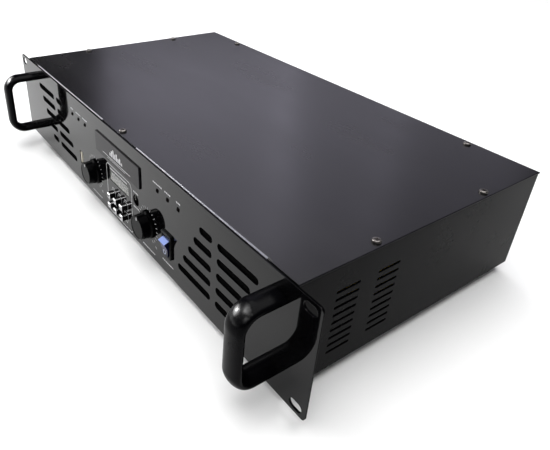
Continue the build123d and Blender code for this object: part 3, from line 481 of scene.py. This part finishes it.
def marks(name, body, look, outlines=(), bands=(), face=PANEL_FACE, height=INK, toward=-1):
    """Flat marks standing off a plane: filled outlines, and bands between two equal loops."""
    mesh = bmesh.new()
    back, front = face - toward * 0.02 * MM, face + toward * height
    for outline in outlines:
        rear = [mesh.verts.new((x, back, z)) for x, z in outline]
        fore = [mesh.verts.new((x, front, z)) for x, z in outline]
        mesh.faces.new(rear)
        mesh.faces.new(fore[::-1])
        for i in range(len(outline)):
            j = (i + 1) % len(outline)
            mesh.faces.new((rear[i], fore[i], fore[j], rear[j]))
    for outer, inner in bands:
        rings = [[mesh.verts.new((x, y, z)) for x, z in loop] for loop, y in
                 ((outer, back), (outer, front), (inner, front), (inner, back))]
        for a, b in zip(rings, rings[1:] + rings[:1]):
            for i in range(len(outer)):
                j = (i + 1) % len(outer)
                mesh.faces.new((a[i], a[j], b[j], b[i]))
    bmesh.ops.recalc_face_normals(mesh, faces=mesh.faces)
    data = bpy.data.meshes.new(name)
    mesh.to_mesh(data)
    mesh.free()
    piece = bpy.data.objects.new(name, data)
    bpy.context.collection.objects.link(piece)
    piece.data.materials.append(look.mat)
    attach(piece, body)
    return piece


def label(x, z, length, height=1.2 * MM):
    """A word's place, drawn as a plain dash with a few gaps and no letters."""
    count = max(2, round(length / (2.4 * MM)))
    pitch = length / count
    return [bar(x - length / 2 + pitch * (i + 0.5), z, pitch * 0.72, height) for i in range(count)]


def numeral(name, text, x, z, size):
    """Generic scale number beside a knob."""
    curve = bpy.data.curves.new(name, "FONT")
    curve.body = text
    curve.size = size
    curve.extrude = INK
    curve.align_x = "CENTER"
    curve.align_y = "CENTER"
    piece = bpy.data.objects.new(name, curve)
    bpy.context.collection.objects.link(piece)
    piece.location = (x, PANEL_FACE, z)
    piece.rotation_euler = (radians(90), 0, 0)
    curve.materials.append(INK_LOOK.mat)
    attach(piece, "chassis")


def volume_scale(side, x, z):
    """Twenty-one ticks over the knob's travel, an end number at each side and a dash below."""
    travel = radians(150)
    inner, outer, stroke = 13.6 * MM, 15.8 * MM, 0.45 * MM
    ticks = [tick(x, z, -travel + i * travel / 10, inner, outer, stroke) for i in range(21)]
    dash = label(x + 0.5 * MM, PANEL_FOOT + 5.5 * MM, 21 * MM)
    marks(f"scale_{side}", "chassis", INK_LOOK, ticks + dash)
    aside, drop, size = 12.5 * MM, 15.6 * MM, 3.2 * MM
    for text, sign in (("0", -1), ("10", 1)):
        numeral(f"scale_{side}_{text}", text, x + sign * aside, z - drop, size)


def knob_pointer(side):
    """White line across the rim and down the grip, at twelve o'clock."""
    knob = f"volume_knob_{side}"
    centre, front, radius = middle(knob), low(knob).y, 10.2 * MM
    line = [bar(centre.x, centre.z + radius - 1.9 * MM, 1.0 * MM, 2.4 * MM)]
    marks(f"pointer_{side}", f"{side}_knob", INK_LOOK, line,
          face=front + 0.32 * MM, height=0.34 * MM)


def media_print():
    """Outline round the player's controls, and small dashes by its keys and sockets."""
    centre = middle("display_lens").x
    z0, z1, line, corner = PANEL_FOOT + 2.5 * MM, PANEL_FOOT + 52 * MM, 0.6 * MM, 5 * MM
    width, mid = 48.5 * MM, (z0 + z1) / 2
    outer = rounded(centre, mid, width, z1 - z0, corner)
    inner = rounded(centre, mid, width - 2 * line, z1 - z0 - 2 * line, corner - line)
    dashes = label(centre, PANEL_FOOT + 48.4 * MM, 33 * MM)
    for number in (1, 2, 3):
        key_x = middle(f"media_button_{number}").x
        dashes += label(key_x, high(f"media_button_{number}").z + 1.4 * MM, 5 * MM, 1.0 * MM)
        dashes += label(key_x, low(f"media_button_{number + 3}").z - 1.6 * MM, 5 * MM, 1.0 * MM)
    aux = middle("aux_jack")
    dashes += label(aux.x, aux.z + 7.0 * MM, 9 * MM)
    dashes += label(aux.x, aux.z - 7.2 * MM, 10 * MM)
    bands = [(outer, inner)]
    for number in range(1, 7):
        key = middle(f"media_button_{number}")
        frame_line = rounded(key.x, key.z, 7.6 * MM, 7.8 * MM, 0.9 * MM)
        bands.append((frame_line, rounded(key.x, key.z, 6.8 * MM, 7.0 * MM, 0.5 * MM)))
    marks("media_outline", "chassis", INK_LOOK, dashes, bands)


def lamp_print():
    """Dashes over the lamps and under the power switch."""
    z = middle("signal_leds").z + 5.2 * MM
    group_x, pitch = 83 * MM, 15 * MM            # middle lamp of each group, and lamp to lamp
    outlines = []
    for x, lengths in ((-group_x, (6, 11, 11)), (group_x, (14, 9, 6))):
        for step, length in zip((-1, 0, 1), lengths):
            outlines += label(x + step * pitch, z, length * MM)
    switch = middle("power_switch_housing")
    outlines += label(switch.x, PANEL_FOOT + 10.7 * MM, 17 * MM)
    marks("lamp_labels", "chassis", INK_LOOK, outlines)


def rear_print():
    """Dashes under the rear connections, outlines round the jacks, ticks by the mode slider."""
    outlines, bands = [], []
    width, height, corner, line = 24 * MM, 22 * MM, 3 * MM, 0.4 * MM
    for number in (1, 2):
        socket = places[f"speaker_socket_{number}"]
        outlines += label(socket.x, socket.z - 18.5 * MM, 18 * MM)
        jack = places[f"input_jack_{number}"]
        outlines += label(jack.x, jack.z - 14.0 * MM, 14 * MM)
        outer = rounded(jack.x, jack.z, width, height, corner)
        inner = rounded(jack.x, jack.z, width - 2 * line, height - 2 * line, corner - line)
        bands.append((outer, inner))
    lines = middle("line_sockets")
    outlines += label(lines.x, lines.z - 19.0 * MM, 20 * MM) + label(lines.x, lines.z + 19.0 * MM, 26 * MM)
    inlet, fuse, mode = middle("mains_inlet"), middle("fuse_holder"), middle("mode_slider")
    outlines += label(inlet.x, inlet.z - 17.0 * MM, 26 * MM) + label(fuse.x, fuse.z - 15.0 * MM, 12 * MM)
    outlines += label(middle("mode_switch").x, high("mode_switch").z + 4.0 * MM, 16 * MM)
    for step in (0, 4):
        outlines.append(bar(mode.x + step * MM, low("mode_switch").z - 2.5 * MM, 0.5 * MM, 2.2 * MM))
    marks("rear_labels", "chassis", INK_LOOK, outlines, bands, face=REAR_FACE, toward=1)


def usb_tip():
    """Front end of the USB tongue, which steps towards the shell and reaches nearly to the mouth."""
    start, end, centre = low("usb_tongue"), high("usb_tongue"), middle("usb_tongue")
    blade = rounded(centre.x - 0.35 * MM, centre.z, 1.5 * MM, end.z - start.z, 0.3 * MM)
    marks("usb_tongue_tip", "chassis", LOOKS["ivory_plastic"], [blade],
          face=start.y, height=start.y - PANEL_FACE - 0.25 * MM)


def badge_emblem():
    """Generic level-meter bars over a fine line."""
    centre, face = middle("badge_plate"), low("badge_plate").y
    heights = (3.0, 5.6, 7.6, 5.0, 6.6, 3.8, 5.4, 2.6)
    base, pitch, width = centre.z - 2.6 * MM, 3.1 * MM, 2.1 * MM
    bars = []
    for number, tall in enumerate(heights):
        bars.append(bar(centre.x + (number - 3.5) * pitch, base + tall / 2 * MM, width, tall * MM))
    bars.append(bar(centre.x, base - 2.2 * MM, 52 * MM, 0.5 * MM))
    bars.append(bar(centre.x, base - 3.9 * MM, 34 * MM, 0.35 * MM))
    marks("badge_emblem", "chassis", INK_LOOK, bars, face=face)


def key_symbols():
    """Plain player symbols on the key caps: bars, arrows and squares."""
    for number in range(1, 7):
        node = f"media_button_{number}"
        centre, face = middle(node), low(node).y
        x, z, half = centre.x, centre.z, 1.1 * MM
        arrow = [(x - half, z - half), (x + half, z), (x - half, z + half)]
        shapes = {1: [bar(x, z, 2 * half, 2 * half)],
                  2: [arrow],
                  3: [bar(x + side * 0.7 * MM, z, 0.7 * MM, 2 * half) for side in (-1, 1)],
                  4: [bar(x, z, 2 * half, 0.6 * MM)],
                  5: [rounded(x, z, 2 * half, 2 * half, half * 0.99)],
                  6: [arrow]}[number]
        marks(f"key_symbol_{number}", node, LOOKS["black_plastic"], shapes, face=face)


for side in ("left", "right"):
    knob_middle = middle(f"volume_knob_{side}")
    volume_scale(side, knob_middle.x, knob_middle.z)
for side in ("left", "right"):
    knob_pointer(side)
media_print()
lamp_print()
usb_tip()
rear_print()
badge_emblem()
key_symbols()


# ---- floor, light and camera --------------------------------------------------------
def studio_floor():
    """Wide pale sheet with a faint mottle, lit evenly out to its far edge."""
    half_width, near, far = 6.0, 1.4, 2.8        # its own glow grows between near and far
    look = Look("studio_floor")
    look.tones((0.80, 0.80, 0.80), (0.84, 0.84, 0.84), 0.4)
    look.gloss(0.5, 0.6, 0.3)
    away = look.add("ShaderNodeVectorMath", operation="LENGTH")
    look.join(look.coords, away.inputs[0])
    glow = look.spread(away.outputs["Value"], near, far, 0, 1.05)
    look.join(glow, look.bsdf.inputs["Emission Strength"])
    look.bsdf.inputs["Emission Color"].default_value = (1, 1, 1, 1)
    mesh = bmesh.new()
    bmesh.ops.create_grid(mesh, x_segments=8, y_segments=8, size=half_width)
    data = bpy.data.meshes.new("studio_floor")
    mesh.to_mesh(data)
    mesh.free()
    floor = bpy.data.objects.new("studio_floor", data)
    floor.location.z = -0.2 * MM
    data.materials.append(look.mat)
    bpy.context.collection.objects.link(floor)


def softbox(name, place, aim, size, radiance, colour=(1, 1, 1)):
    """Rectangular area light whose surface has the given radiance."""
    light = bpy.data.lights.new(name, "AREA")
    light.shape = "RECTANGLE"
    light.size, light.size_y = size
    light.energy = radiance * pi * size[0] * size[1]
    light.color = colour
    lamp = bpy.data.objects.new(name, light)
    lamp.location = place
    lamp.rotation_euler = (Vector(aim) - Vector(place)).to_track_quat("-Z", "Y").to_euler()
    bpy.context.collection.objects.link(lamp)


def toward(turn, rise, distance):
    """Point at that bearing (degrees left of straight back) and elevation from the object."""
    flat = cos(radians(rise)) * distance
    return (-sin(radians(turn)) * flat, cos(radians(turn)) * flat, sin(radians(rise)) * distance)


def world_light(strength):
    """White band at the horizon, where the studio wall stands, and near darkness above it."""
    band_top, dark_from, band = 0.09, 0.13, 1.0  # sines of the elevation, and the band's strength
    world = bpy.data.worlds.new("studio_world")
    world.use_nodes = True
    tree = world.node_tree
    background = tree.nodes["Background"]
    background.inputs["Color"].default_value = (1, 1, 1, 1)
    direction = tree.nodes.new("ShaderNodeTexCoord")
    parts = tree.nodes.new("ShaderNodeSeparateXYZ")
    fade = tree.nodes.new("ShaderNodeMapRange")
    settings = {"From Min": band_top, "From Max": dark_from, "To Min": band, "To Max": strength}
    for key, number in settings.items():
        fade.inputs[key].default_value = number
    tree.links.new(direction.outputs["Generated"], parts.inputs[0])
    tree.links.new(parts.outputs["Z"], fade.inputs["Value"])
    tree.links.new(fade.outputs["Result"], background.inputs["Strength"])
    bpy.context.scene.world = world


CAMERA_X, CAMERA_AHEAD, CAMERA_UP = 0.3771, 0.1656, 0.2795      # ahead of the panel, over its foot
CAMERA_TURN, CAMERA_DOWN, CAMERA_ROLL = 53.51, 30.58, 2.87       # degrees
LENS, SHIFT_X, SHIFT_Y = 35.86, 0.0891, -0.0673


def camera():
    data = bpy.data.cameras.new("photo_camera")
    data.sensor_width = 36
    data.lens = LENS
    data.shift_x, data.shift_y = SHIFT_X, SHIFT_Y
    data.clip_start = 0.01
    data.dof.use_dof = False
    view = bpy.data.objects.new("photo_camera", data)
    turn = Matrix.Rotation(radians(CAMERA_TURN), 4, "Z")
    tilt = Matrix.Rotation(radians(90 - CAMERA_DOWN), 4, "X")
    roll = Matrix.Rotation(radians(CAMERA_ROLL), 4, "Z")
    place = Matrix.Translation((CAMERA_X, PANEL_FACE - CAMERA_AHEAD, PANEL_FOOT + CAMERA_UP))
    view.matrix_world = place @ turn @ tilt @ roll
    bpy.context.collection.objects.link(view)
    bpy.context.scene.camera = view


studio_floor()
world_light(0.01)
softbox("ceiling", (-0.05, 0.15, 2.5), (0, 0, 0), (3.0, 3.0), 4.4)
softbox("back_left", toward(57.5, 31, 2.6), (0, 0, 0.1), (1.05, 1.3), 0.93, (0.98, 0.95, 1.14))
softbox("back_middle", toward(39, 30, 2.6), (0, 0, 0.1), (0.66, 1.2), 0.64, (0.98, 0.95, 1.14))
softbox("back_right", toward(24, 27, 2.6), (0, 0, 0.1), (0.7, 1.1), 0.42, (0.98, 0.95, 1.14))
softbox("front_left", toward(122, 25, 2.2), (0, 0, 0.1), (1.5, 0.7), 6.5)
softbox("front_right", toward(-150, 40, 2.4), (0, 0, 0.1), (1.0, 0.8), 2.5)
softbox("key", toward(126.5, 30.7, 2.2), (0, 0, 0.1), (0.3, 0.3), 55.0)
camera()
bpy.context.scene.view_settings.view_transform = "Standard"
